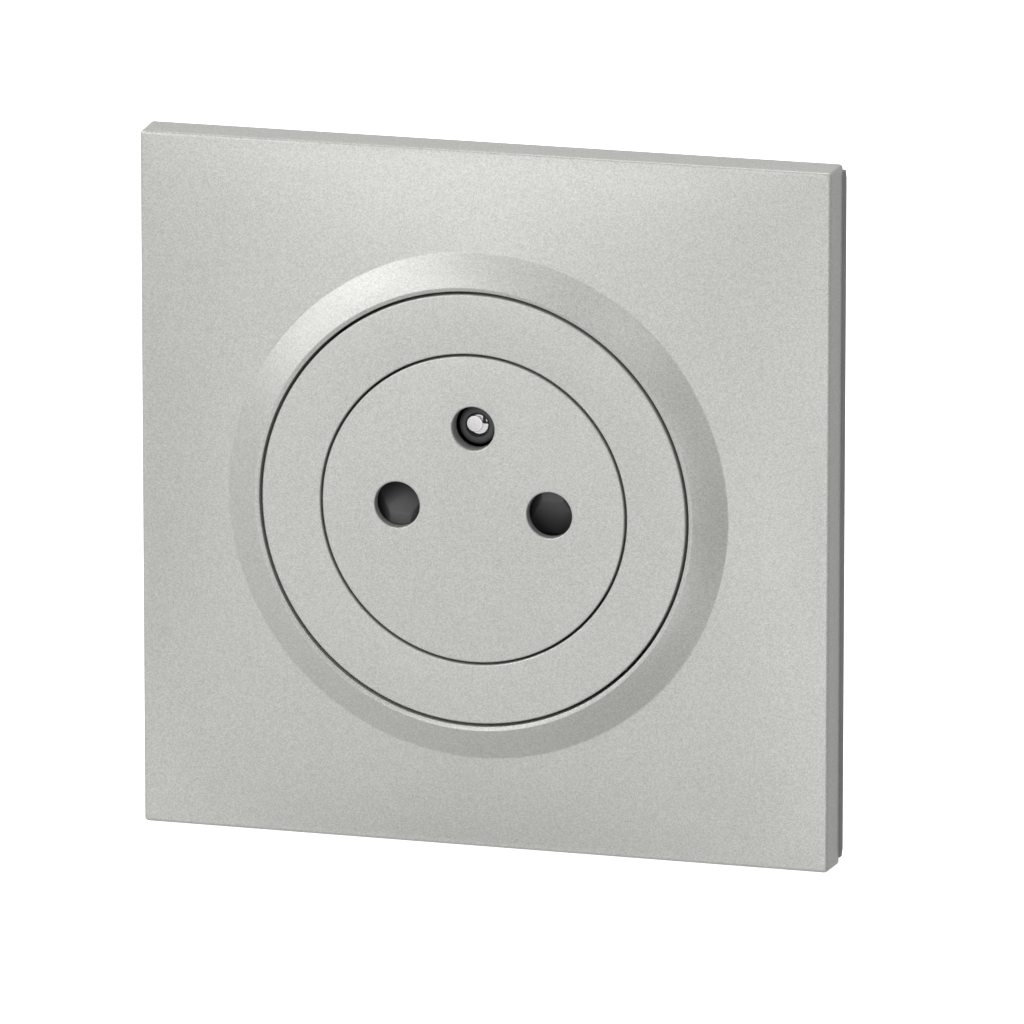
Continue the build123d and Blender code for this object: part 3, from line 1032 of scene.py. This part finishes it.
@dataclass
class CentreDisc:
    """The travelling disc with its two live holes and its earth hole."""

    wardrobe: Wardrobe
    radius: float = 18.85
    face: float = 10.25
    wall: float = 1.2
    skirt: float = 1.2
    skirt_end: float = 5.5
    edge: float = 0.2
    pin_x: float = 9.5
    live_radius: float = 2.8
    earth_up: float = 10.0
    earth_radius: float = 2.65
    boss_wall: float = 1.4
    boss_depth: float = 0.8
    mouth: float = 0.22
    over: float = 1.0

    def drill(self, x: float, up: float, radius: float) -> Piece:
        """Cutter for a hole with a rounded mouth.

        Args:
            x: place across.
            up: place upward.
            radius: radius of the hole.

        Returns:
            The cutter.
        """
        deep = self.face - self.wall - self.boss_depth - self.over
        high = self.face + self.over
        flare = radius + 2 * self.mouth
        cutter = Bench.turn("drill", [
            Corner(0.0, deep), Corner(radius, deep), Corner(radius, self.face, self.mouth),
            Corner(flare, self.face), Corner(flare, high), Corner(0.0, high),
        ], PIN_STEPS)
        Bench.shift(cutter, (x, 0.0, up))
        return cutter

    def build(self) -> None:
        """Makes the disc, which stands for its node."""
        rear = self.face - self.wall
        inside = self.radius - self.skirt
        disc = Bench.turn("centre_disc", [
            Corner(0.0, self.face), Corner(self.radius, self.face, self.edge),
            Corner(self.radius, self.skirt_end), Corner(inside, self.skirt_end), Corner(inside, rear),
            Corner(0.0, rear),
        ], WIDE_STEPS)
        boss_radius = self.earth_radius + self.boss_wall
        boss = Bench.turn("earth_boss", [
            Corner(0.0, rear - self.boss_depth), Corner(boss_radius, rear - self.boss_depth, self.edge),
            Corner(boss_radius, rear + self.wall / 2), Corner(0.0, rear + self.wall / 2),
        ], PIN_STEPS)
        Bench.shift(boss, (0.0, 0.0, self.earth_up))
        Bench.combine(disc, boss, Blend.ADD)
        for x, up, radius in ((-self.pin_x, 0.0, self.live_radius), (self.pin_x, 0.0, self.live_radius),
                              (0.0, self.earth_up, self.earth_radius)):
            Bench.combine(disc, self.drill(x, up, radius), Blend.TAKE)
        Bench.close(disc)
        self.wardrobe.dress(disc, Slot.LACQUER)
        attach(disc, Body.PLUNGER.value)
        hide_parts("plunger_cap")
        log.info("centre disc: %d faces", len(disc.data.polygons))


@dataclass
class EarthPin:
    """Earth pin: a nickelled core with a stepped, slotted end, on a turned shank, ringed by a dark rounded
    nose that is painted reflection and painted shade: it stands in for the dark reflection on the pin's
    rounded shoulder, and its floor under the slots and groove for their shade.
    """

    wardrobe: Wardrobe
    up: float = 10.0
    radius: float = 2.4
    tip: float = 8.25
    core_radius: float = 1.47
    core_sink: float = 0.55
    core_chamfer: float = 0.3
    step_radius: float = 1.0
    step_x: float = -0.42
    step_up: float = 0.08
    step_rise: float = 0.3
    groove_angles: tuple[int, int] = (96, 160)
    slot_depth: float = 1.2
    slot_sink: float = 0.4
    upright_slot: Box = (0.52, 0.16, 0.92, 1.14)
    level_slot: Box = (0.60, 0.12, 1.50, 0.40)
    step_round: float = 0.05
    step_sides: int = 48
    shoulder_round: float = 0.15
    rivet_round: float = 0.3
    nose_round: float = 0.6
    nose_lip: float = 0.15
    groove_parts: int = 8
    deck: float = -13.6
    shoulder_radius: float = 3.6
    shoulder: float = 1.6
    tail_radius: float = 2.0
    tail: float = 0.8
    rivet_radius: float = 2.6
    rivet: float = 0.8
    nose_low: float = 3.0
    fit: float = 0.02

    def groove(self) -> list[tuple[float, float]]:
        """Outline of the groove between the stepped end and the core's edge; it looks dark because the dark
        nose piece shows at its floor as painted shade.

        Returns:
            Pairs of across and up.
        """
        start, end = self.groove_angles
        parts = [part / self.groove_parts for part in range(self.groove_parts + 1)]
        turns = [math.radians(start + (end - start) * part) for part in parts]
        edge = self.core_radius + self.fit
        outer = [(edge * math.cos(turn), edge * math.sin(turn)) for turn in turns]
        reach = self.step_radius + self.fit
        inner = [(self.step_x + reach * math.cos(turn), self.step_up + reach * math.sin(turn))
                 for turn in turns]
        return outer + inner[::-1]

    def end_cutters(self, core_end: float) -> list[Piece]:
        """Cutters for the groove and the two slots of the core's end.

        Args:
            core_end: height of the core's end.

        Returns:
            The cutters.
        """
        front = core_end + 2 * self.step_rise
        rear = core_end - self.slot_depth
        outlines = [self.groove()]
        for left, low, right, high in (self.upright_slot, self.level_slot):
            outlines.append([(left, low), (right, low), (right, high), (left, high)])
        return [Bench.prism("end_cutter", outline, front, rear) for outline in outlines]

    def build(self) -> None:
        """Makes the pin and its dark nose, which stand for the pin's node; the nose is painted reflection and
        painted shade.
        """
        shoulder_end = self.deck - self.shoulder
        tail_end = shoulder_end - self.tail
        rivet_end = tail_end - self.rivet
        core_end = self.tip - self.core_sink
        pin = Bench.turn("earth_pin_core", [
            Corner(0.0, rivet_end), Corner(self.rivet_radius, rivet_end, self.rivet_round),
            Corner(self.rivet_radius, tail_end), Corner(self.tail_radius, tail_end),
            Corner(self.tail_radius, shoulder_end),
            Corner(self.shoulder_radius, shoulder_end, self.shoulder_round),
            Corner(self.shoulder_radius, self.deck, self.shoulder_round), Corner(self.radius, self.deck),
            Corner(self.radius, self.nose_low), Corner(self.core_radius, self.nose_low),
            Corner(self.core_radius, core_end - self.core_chamfer),
            Corner(self.core_radius - self.core_chamfer, core_end), Corner(0.0, core_end),
        ], PIN_STEPS)
        for cutter in self.end_cutters(core_end):
            Bench.combine(pin, cutter, Blend.TAKE)
        step_end = core_end + self.step_rise
        step = Bench.turn("earth_pin_step", [
            Corner(0.0, core_end - self.step_rise), Corner(self.step_radius, core_end - self.step_rise),
            Corner(self.step_radius, step_end, self.step_round), Corner(0.0, step_end),
        ], self.step_sides)
        Bench.shift(step, (self.step_x, 0.0, self.step_up))
        Bench.join(pin, [step])
        Bench.shift(pin, (0.0, 0.0, self.up))
        Bench.close(pin)
        self.wardrobe.dress(pin, Slot.NICKEL)
        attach(pin, Body.BASE.value)
        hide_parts("earth_pin")
        nose_inner = self.core_radius + self.fit
        nose_low = self.nose_low + self.fit
        slot_front = core_end - self.slot_sink
        slot_rear = core_end - self.slot_depth
        # Painted reflection and painted shade: the dark nose ring stands in for the dark reflection on the
        # pin's rounded metal shoulder, and its disc inside the core shows at the floor of the slots and the
        # groove as painted shade.
        nose = Bench.turn("earth_pin_painted_shade_nose", [
            Corner(0.0, slot_rear), Corner(nose_inner, slot_rear), Corner(nose_inner, nose_low),
            Corner(self.radius, nose_low), Corner(self.radius, self.tip, self.nose_round),
            Corner(nose_inner, self.tip, self.nose_lip), Corner(nose_inner, slot_front),
            Corner(0.0, slot_front),
        ], PIN_STEPS)
        Bench.shift(nose, (0.0, 0.0, self.up))
        self.wardrobe.dress(nose, Slot.HOUSING)
        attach(nose, Body.BASE.value)
        log.info("earth pin: %d faces", len(pin.data.polygons) + len(nose.data.polygons))


@dataclass
class ShutterRotor:
    """Dark rotor behind the live holes: a faceted ramp on each side and a hub between them."""

    wardrobe: Wardrobe
    pin_x: float = 9.5
    land: float = 6.6
    width: float = 6.6
    rear: float = 4.5
    front: float = 8.85
    tip: float = 1.75
    heel: float = 1.9
    slope: float = 2.0
    slope_depth: float = 1.6
    arm_width: float = 3.0
    arm_depth: float = 1.7
    bite: float = 0.3
    hub_radius: float = 3.6
    collar_radius: float = 3.0
    collar_height: float = 1.9
    bore: float = 1.6
    hub_round: float = 0.2
    edge: float = 0.14
    edge_segments: int = 3
    edge_angle: float = 15.0
    sharp: float = 30.0

    def right_land(self) -> Piece:
        """The right land: a block with sloped sides and a ramp that falls towards the bottom.

        Returns:
            The land, its edges still sharp.
        """
        half = self.width / 2
        inner = self.pin_x - self.land / 2
        outer = self.pin_x + self.land / 2
        land = Bench.block("shutter_land", (inner, -self.front, -half), (outer, -self.rear, half))
        run = self.width - self.heel
        fall = self.front - self.rear - self.tip
        planes = (
            (Vector((inner + self.slope, -self.front, 0.0)), Vector((-self.slope_depth, -self.slope, 0.0))),
            (Vector((outer - self.slope, -self.front, 0.0)), Vector((self.slope_depth, -self.slope, 0.0))),
            (Vector((self.pin_x, -self.front, half - self.heel)), Vector((0.0, -run, -fall))),
        )
        Bench.edit(land)
        for place, normal in planes:
            bpy.ops.mesh.select_all(action="SELECT")
            bpy.ops.mesh.bisect(plane_co=place * MM, plane_no=normal.normalized(),
                                use_fill=True, clear_outer=True)
        Bench.clear()
        return land

    def build(self) -> None:
        """Makes the rotor, which stands for its node."""
        arm_front = self.rear + self.arm_depth
        collar_front = arm_front + self.collar_height
        rotor = Bench.turn("shutter_rotor", [
            Corner(self.bore, self.rear), Corner(self.hub_radius, self.rear),
            Corner(self.hub_radius, arm_front, self.hub_round), Corner(self.collar_radius, arm_front),
            Corner(self.collar_radius, collar_front, self.hub_round), Corner(self.bore, collar_front),
        ], HUB_STEPS)
        arm_end = self.pin_x - self.land / 2 + self.bite
        arm = Bench.block("arm", (self.bore + self.bite, -arm_front, -self.arm_width / 2),
                          (arm_end, -self.rear, self.arm_width / 2))
        land = self.right_land()
        Bench.join(land, [arm])
        Bench.soften(land, self.edge, self.edge_segments, self.edge_angle)
        far_side = Bench.copies_round(land, (180,))
        Bench.join(rotor, [land, *far_side])
        Bench.close(rotor, self.sharp)
        self.wardrobe.dress(rotor, Slot.CHARCOAL)
        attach(rotor, Body.SHUTTER.value)
        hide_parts("shutter")
        log.info("shutter rotor: %d faces", len(rotor.data.polygons))


@dataclass
class CoilSpring:
    """Round-wire coil spring behind the disc; the real one is squeezed as the disc travels inward, and this
    one keeps one length.
    """

    wardrobe: Wardrobe
    seat: Triple = (0.0, 26.0, 0.0)
    along: Triple = (0.0, -1.0, 0.0)
    length: float = 29.2
    radius: float = 3.5
    wire: float = 0.7
    wire_sides: int = 8
    turns: int = 9
    steps: int = 32
    sharp: float = 60.0
    keep: float = 0.47

    def build(self) -> None:
        """Makes the spring, which stands for its node."""
        Bench.clear()
        bpy.ops.mesh.primitive_circle_add(vertices=self.wire_sides, radius=self.wire / 2 * MM,
                                          rotation=(math.pi / 2, 0, 0))
        piece = Bench.named("plunger_coil")
        bpy.ops.object.transform_apply(location=False, rotation=True, scale=True)
        Bench.shift(piece, (self.radius, 0.0, self.wire / 2))
        screw = piece.modifiers.new("coil", "SCREW")
        screw.axis = "Z"
        screw.iterations = self.turns
        screw.screw_offset = (self.length - self.wire) / self.turns * MM
        screw.steps = self.steps
        screw.render_steps = self.steps
        Bench.apply(piece, screw)
        turn = Vector((0, 0, 1)).rotation_difference(Vector(self.along)).to_matrix().to_4x4()
        piece.data.transform(Matrix.Translation(Vector(self.seat) * MM) @ turn)
        Bench.edit(piece)
        bpy.ops.mesh.select_all(action="DESELECT")
        bpy.ops.mesh.select_non_manifold()
        bpy.ops.mesh.fill()
        Bench.close(piece, self.sharp)
        self.wardrobe.dress(piece, Slot.SPRING)
        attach(piece, Body.BASE.value)
        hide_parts("plunger_spring")
        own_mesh(piece)
        log.info("plunger coil: %d faces", len(piece.data.polygons))


@dataclass
class ClampLeaf:
    """Leaf spring of a terminal; on the real socket it closes towards the wall of its bay when its button is
    pressed, and here it keeps one shape.
    """

    wardrobe: Wardrobe
    terminal: str
    x: float
    way: Way
    wall: float = 22.4
    touch: float = 16.15
    fold: float = -27.2
    length: float = 9.7
    rise: float = 7.8
    bend: float = 1.0
    sheet: float = 0.4
    width: float = 6.4
    keep: float = 0.55

    def build(self) -> None:
        """Makes the leaf, which stands for its node."""
        line = rounded([
            Corner(self.wall, self.fold + self.length), Corner(self.wall, self.fold, self.bend),
            Corner(self.touch, self.fold + self.rise),
        ], False)
        left = self.x - self.width / 2
        points = [Vector((left, -height, self.way.value * up)) * MM for up, height in line]
        piece = Bench.draw(f"{self.terminal}_clamp_leaf", points, False)
        bpy.ops.mesh.select_all(action="SELECT")
        bpy.ops.mesh.extrude_region_move(TRANSFORM_OT_translate={"value": (self.width * MM, 0, 0)})
        bpy.ops.mesh.select_all(action="SELECT")
        bpy.ops.mesh.normals_make_consistent(inside=False)
        Bench.clear()
        solid = piece.modifiers.new("sheet", "SOLIDIFY")
        solid.thickness = self.sheet * MM
        solid.offset = 0.0
        Bench.apply(piece, solid)
        Bench.close(piece)
        self.wardrobe.dress(piece, Slot.SPRING)
        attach(piece, Body.BASE.value)
        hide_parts(f"{self.terminal}_clamp_spring")
        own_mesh(piece)
        log.info("%s clamp leaf: %d faces", self.terminal, len(piece.data.polygons))


TERMINALS = (("live", -12.0, Way.DOWN), ("neutral", 12.0, Way.DOWN), ("earth", 0.0, Way.UP))


@dataclass
class Mechanism:
    """Inner pieces that keep the frame's own shape and get a finish."""

    wardrobe: Wardrobe
    finishes: dict[str, Slot] = field(default_factory=lambda: {
        "mounting_yoke": Slot.ZINC, "housing_screws": Slot.ZINC,
        "mechanism_housing": Slot.HOUSING, "rear_cover": Slot.HOUSING,
        "plunger_carrier": Slot.CHARCOAL, "shutter_spring": Slot.SPRING,
        "live_contact": Slot.BRASS, "neutral_contact": Slot.BRASS, "earth_strap": Slot.BRASS,
        "live_release_button": Slot.BUTTON, "neutral_release_button": Slot.BUTTON,
        "earth_release_button": Slot.BUTTON,
    })

    def dress(self) -> None:
        """Gives every node its finish."""
        for node, slot in self.finishes.items():
            self.wardrobe.dress_node(node, slot)


@dataclass(frozen=True)
class Lamp:
    """A soft square light that looks at the socket: degrees, watts and millimetres."""

    name: str
    azimuth: float
    elevation: float
    power: float
    distance: float = 900.0
    size: float = 260.0


LAMPS = (
    Lamp("low_fill", -16.0, -30.0, 0.119),
    Lamp("low_right_fill", 29.0, -30.0, 0.267),
    Lamp("front_fill", -1.0, -14.0, 0.183),
    Lamp("front_right_fill", 14.0, -14.0, 0.250),
    Lamp("right_fill", 29.0, 2.0, 0.219),
    Lamp("left_softbox", -61.0, 18.0, 0.366),
    Lamp("upper_front_fill", -16.0, 18.0, 0.400),
    Lamp("upper_left_softbox", -31.0, 34.0, 0.435),
    Lamp("upper_right_fill", 29.0, 34.0, 0.237),
    Lamp("top_fill", -1.0, 50.0, 0.140),
    Lamp("overhead", 180.0, 74.0, 1.500, size=500.0),
    Lamp("near_left_card", -31.0, -14.0, 0.020, 350.0, 110.0),
    Lamp("near_front_card", -16.0, 4.0, 0.036, 350.0, 110.0),
    Lamp("near_upper_left_card", -61.0, 40.0, 0.137, 350.0, 110.0),
)


@dataclass
class Studio:
    """Pale floor, soft lights and the camera."""

    azimuth: float = 16.27
    elevation: float = 13.98
    distance: float = 1664.5
    aim: Triple = (1.893, 0.0, -2.556)
    picture: float = 1024.0
    focal_pixels: float = 13816.0
    sensor: float = 36.0
    clip: tuple[float, float] = (0.05, 200.0)
    floor_gap: float = 0.05
    floor_size: float = 40000.0
    floor_tone: float = 0.9
    floor_roughness: float = 0.9
    room_left: float = 0.73
    room_right: float = 0.41

    def direction(self, azimuth: float, elevation: float) -> Vector:
        """Unit vector from the socket towards a place round it, in degrees."""
        turn, lift = math.radians(azimuth), math.radians(elevation)
        return Vector((math.sin(turn) * math.cos(lift), -math.cos(turn) * math.cos(lift), math.sin(lift)))

    def camera(self) -> None:
        """Sets the camera at the picture's angle."""
        data = bpy.data.cameras.new("camera")
        data.sensor_width = self.sensor
        data.lens = self.sensor * self.focal_pixels / self.picture
        data.clip_start, data.clip_end = self.clip
        camera = bpy.data.objects.new("camera", data)
        bpy.context.collection.objects.link(camera)
        back = self.direction(self.azimuth, self.elevation)
        camera.location = (Vector(self.aim) + back * self.distance) * MM
        camera.rotation_euler = (-back).to_track_quat("-Z", "Y").to_euler()
        bpy.context.scene.camera = camera

    def floor(self) -> None:
        """Lays the pale floor under the plate."""
        Bench.clear()
        low, _ = cad_box
        level = low.z - self.floor_gap * MM
        bpy.ops.mesh.primitive_plane_add(size=self.floor_size * MM, location=(0, 0, level))
        floor = Bench.named("floor")
        sheet = NodeSheet("pale_floor")
        tone = self.floor_tone
        sheet.set(Base_Color=(tone, tone, tone, 1.0), Roughness=self.floor_roughness,
                  Emission_Color=WHITE, Emission_Strength=1.0)
        floor.data.materials.append(sheet.material)
        floor.visible_glossy = False
        floor.visible_diffuse = False

    def light(self, lamp: Lamp) -> None:
        """Adds one soft light.

        Args:
            lamp: the light's values.
        """
        data = bpy.data.lights.new(lamp.name, "AREA")
        data.shape = "SQUARE"
        data.size = lamp.size * MM
        data.energy = lamp.power
        light = bpy.data.objects.new(lamp.name, data)
        bpy.context.collection.objects.link(light)
        away = self.direction(lamp.azimuth, lamp.elevation)
        light.location = away * lamp.distance * MM
        light.rotation_euler = away.to_track_quat("Z", "Y").to_euler()
        light.visible_camera = False

    def world(self) -> None:
        """Gives the room a pale light that fades towards the right."""
        world = bpy.data.worlds.new("studio")
        world.use_nodes = True
        tree = world.node_tree
        back = tree.nodes["Background"]
        back.inputs["Color"].default_value = WHITE
        place = tree.nodes.new("ShaderNodeTexCoord")
        split = tree.nodes.new("ShaderNodeSeparateXYZ")
        ramp = tree.nodes.new("ShaderNodeMapRange")
        ramp.inputs["From Min"].default_value = -1.0
        ramp.inputs["To Min"].default_value = self.room_left
        ramp.inputs["To Max"].default_value = self.room_right
        tree.links.new(place.outputs["Generated"], split.inputs["Vector"])
        tree.links.new(split.outputs["X"], ramp.inputs["Value"])
        tree.links.new(ramp.outputs["Result"], back.inputs["Strength"])
        bpy.context.scene.world = world

    def build(self) -> None:
        """Sets up the whole studio."""
        self.camera()
        self.floor()
        self.world()
        for lamp in LAMPS:
            self.light(lamp)
        bpy.context.scene.view_settings.view_transform = "Standard"
        log.info("studio ready")


def main() -> None:
    """Builds and dresses every piece in order."""
    logging.basicConfig(level=logging.INFO, format="%(name)s: %(message)s")
    wardrobe = Wardrobe()
    CoverPlate(wardrobe).build()
    BackingFrame(wardrobe).build()
    FaceRing(wardrobe).build()
    CentreDisc(wardrobe).build()
    EarthPin(wardrobe).build()
    CoilSpring(wardrobe).build()
    ShutterRotor(wardrobe).build()
    for terminal, x, way in TERMINALS:
        ClampLeaf(wardrobe, terminal, x, way).build()
    Mechanism(wardrobe).dress()
    Studio().build()


if __name__ == "__main__":
    main()
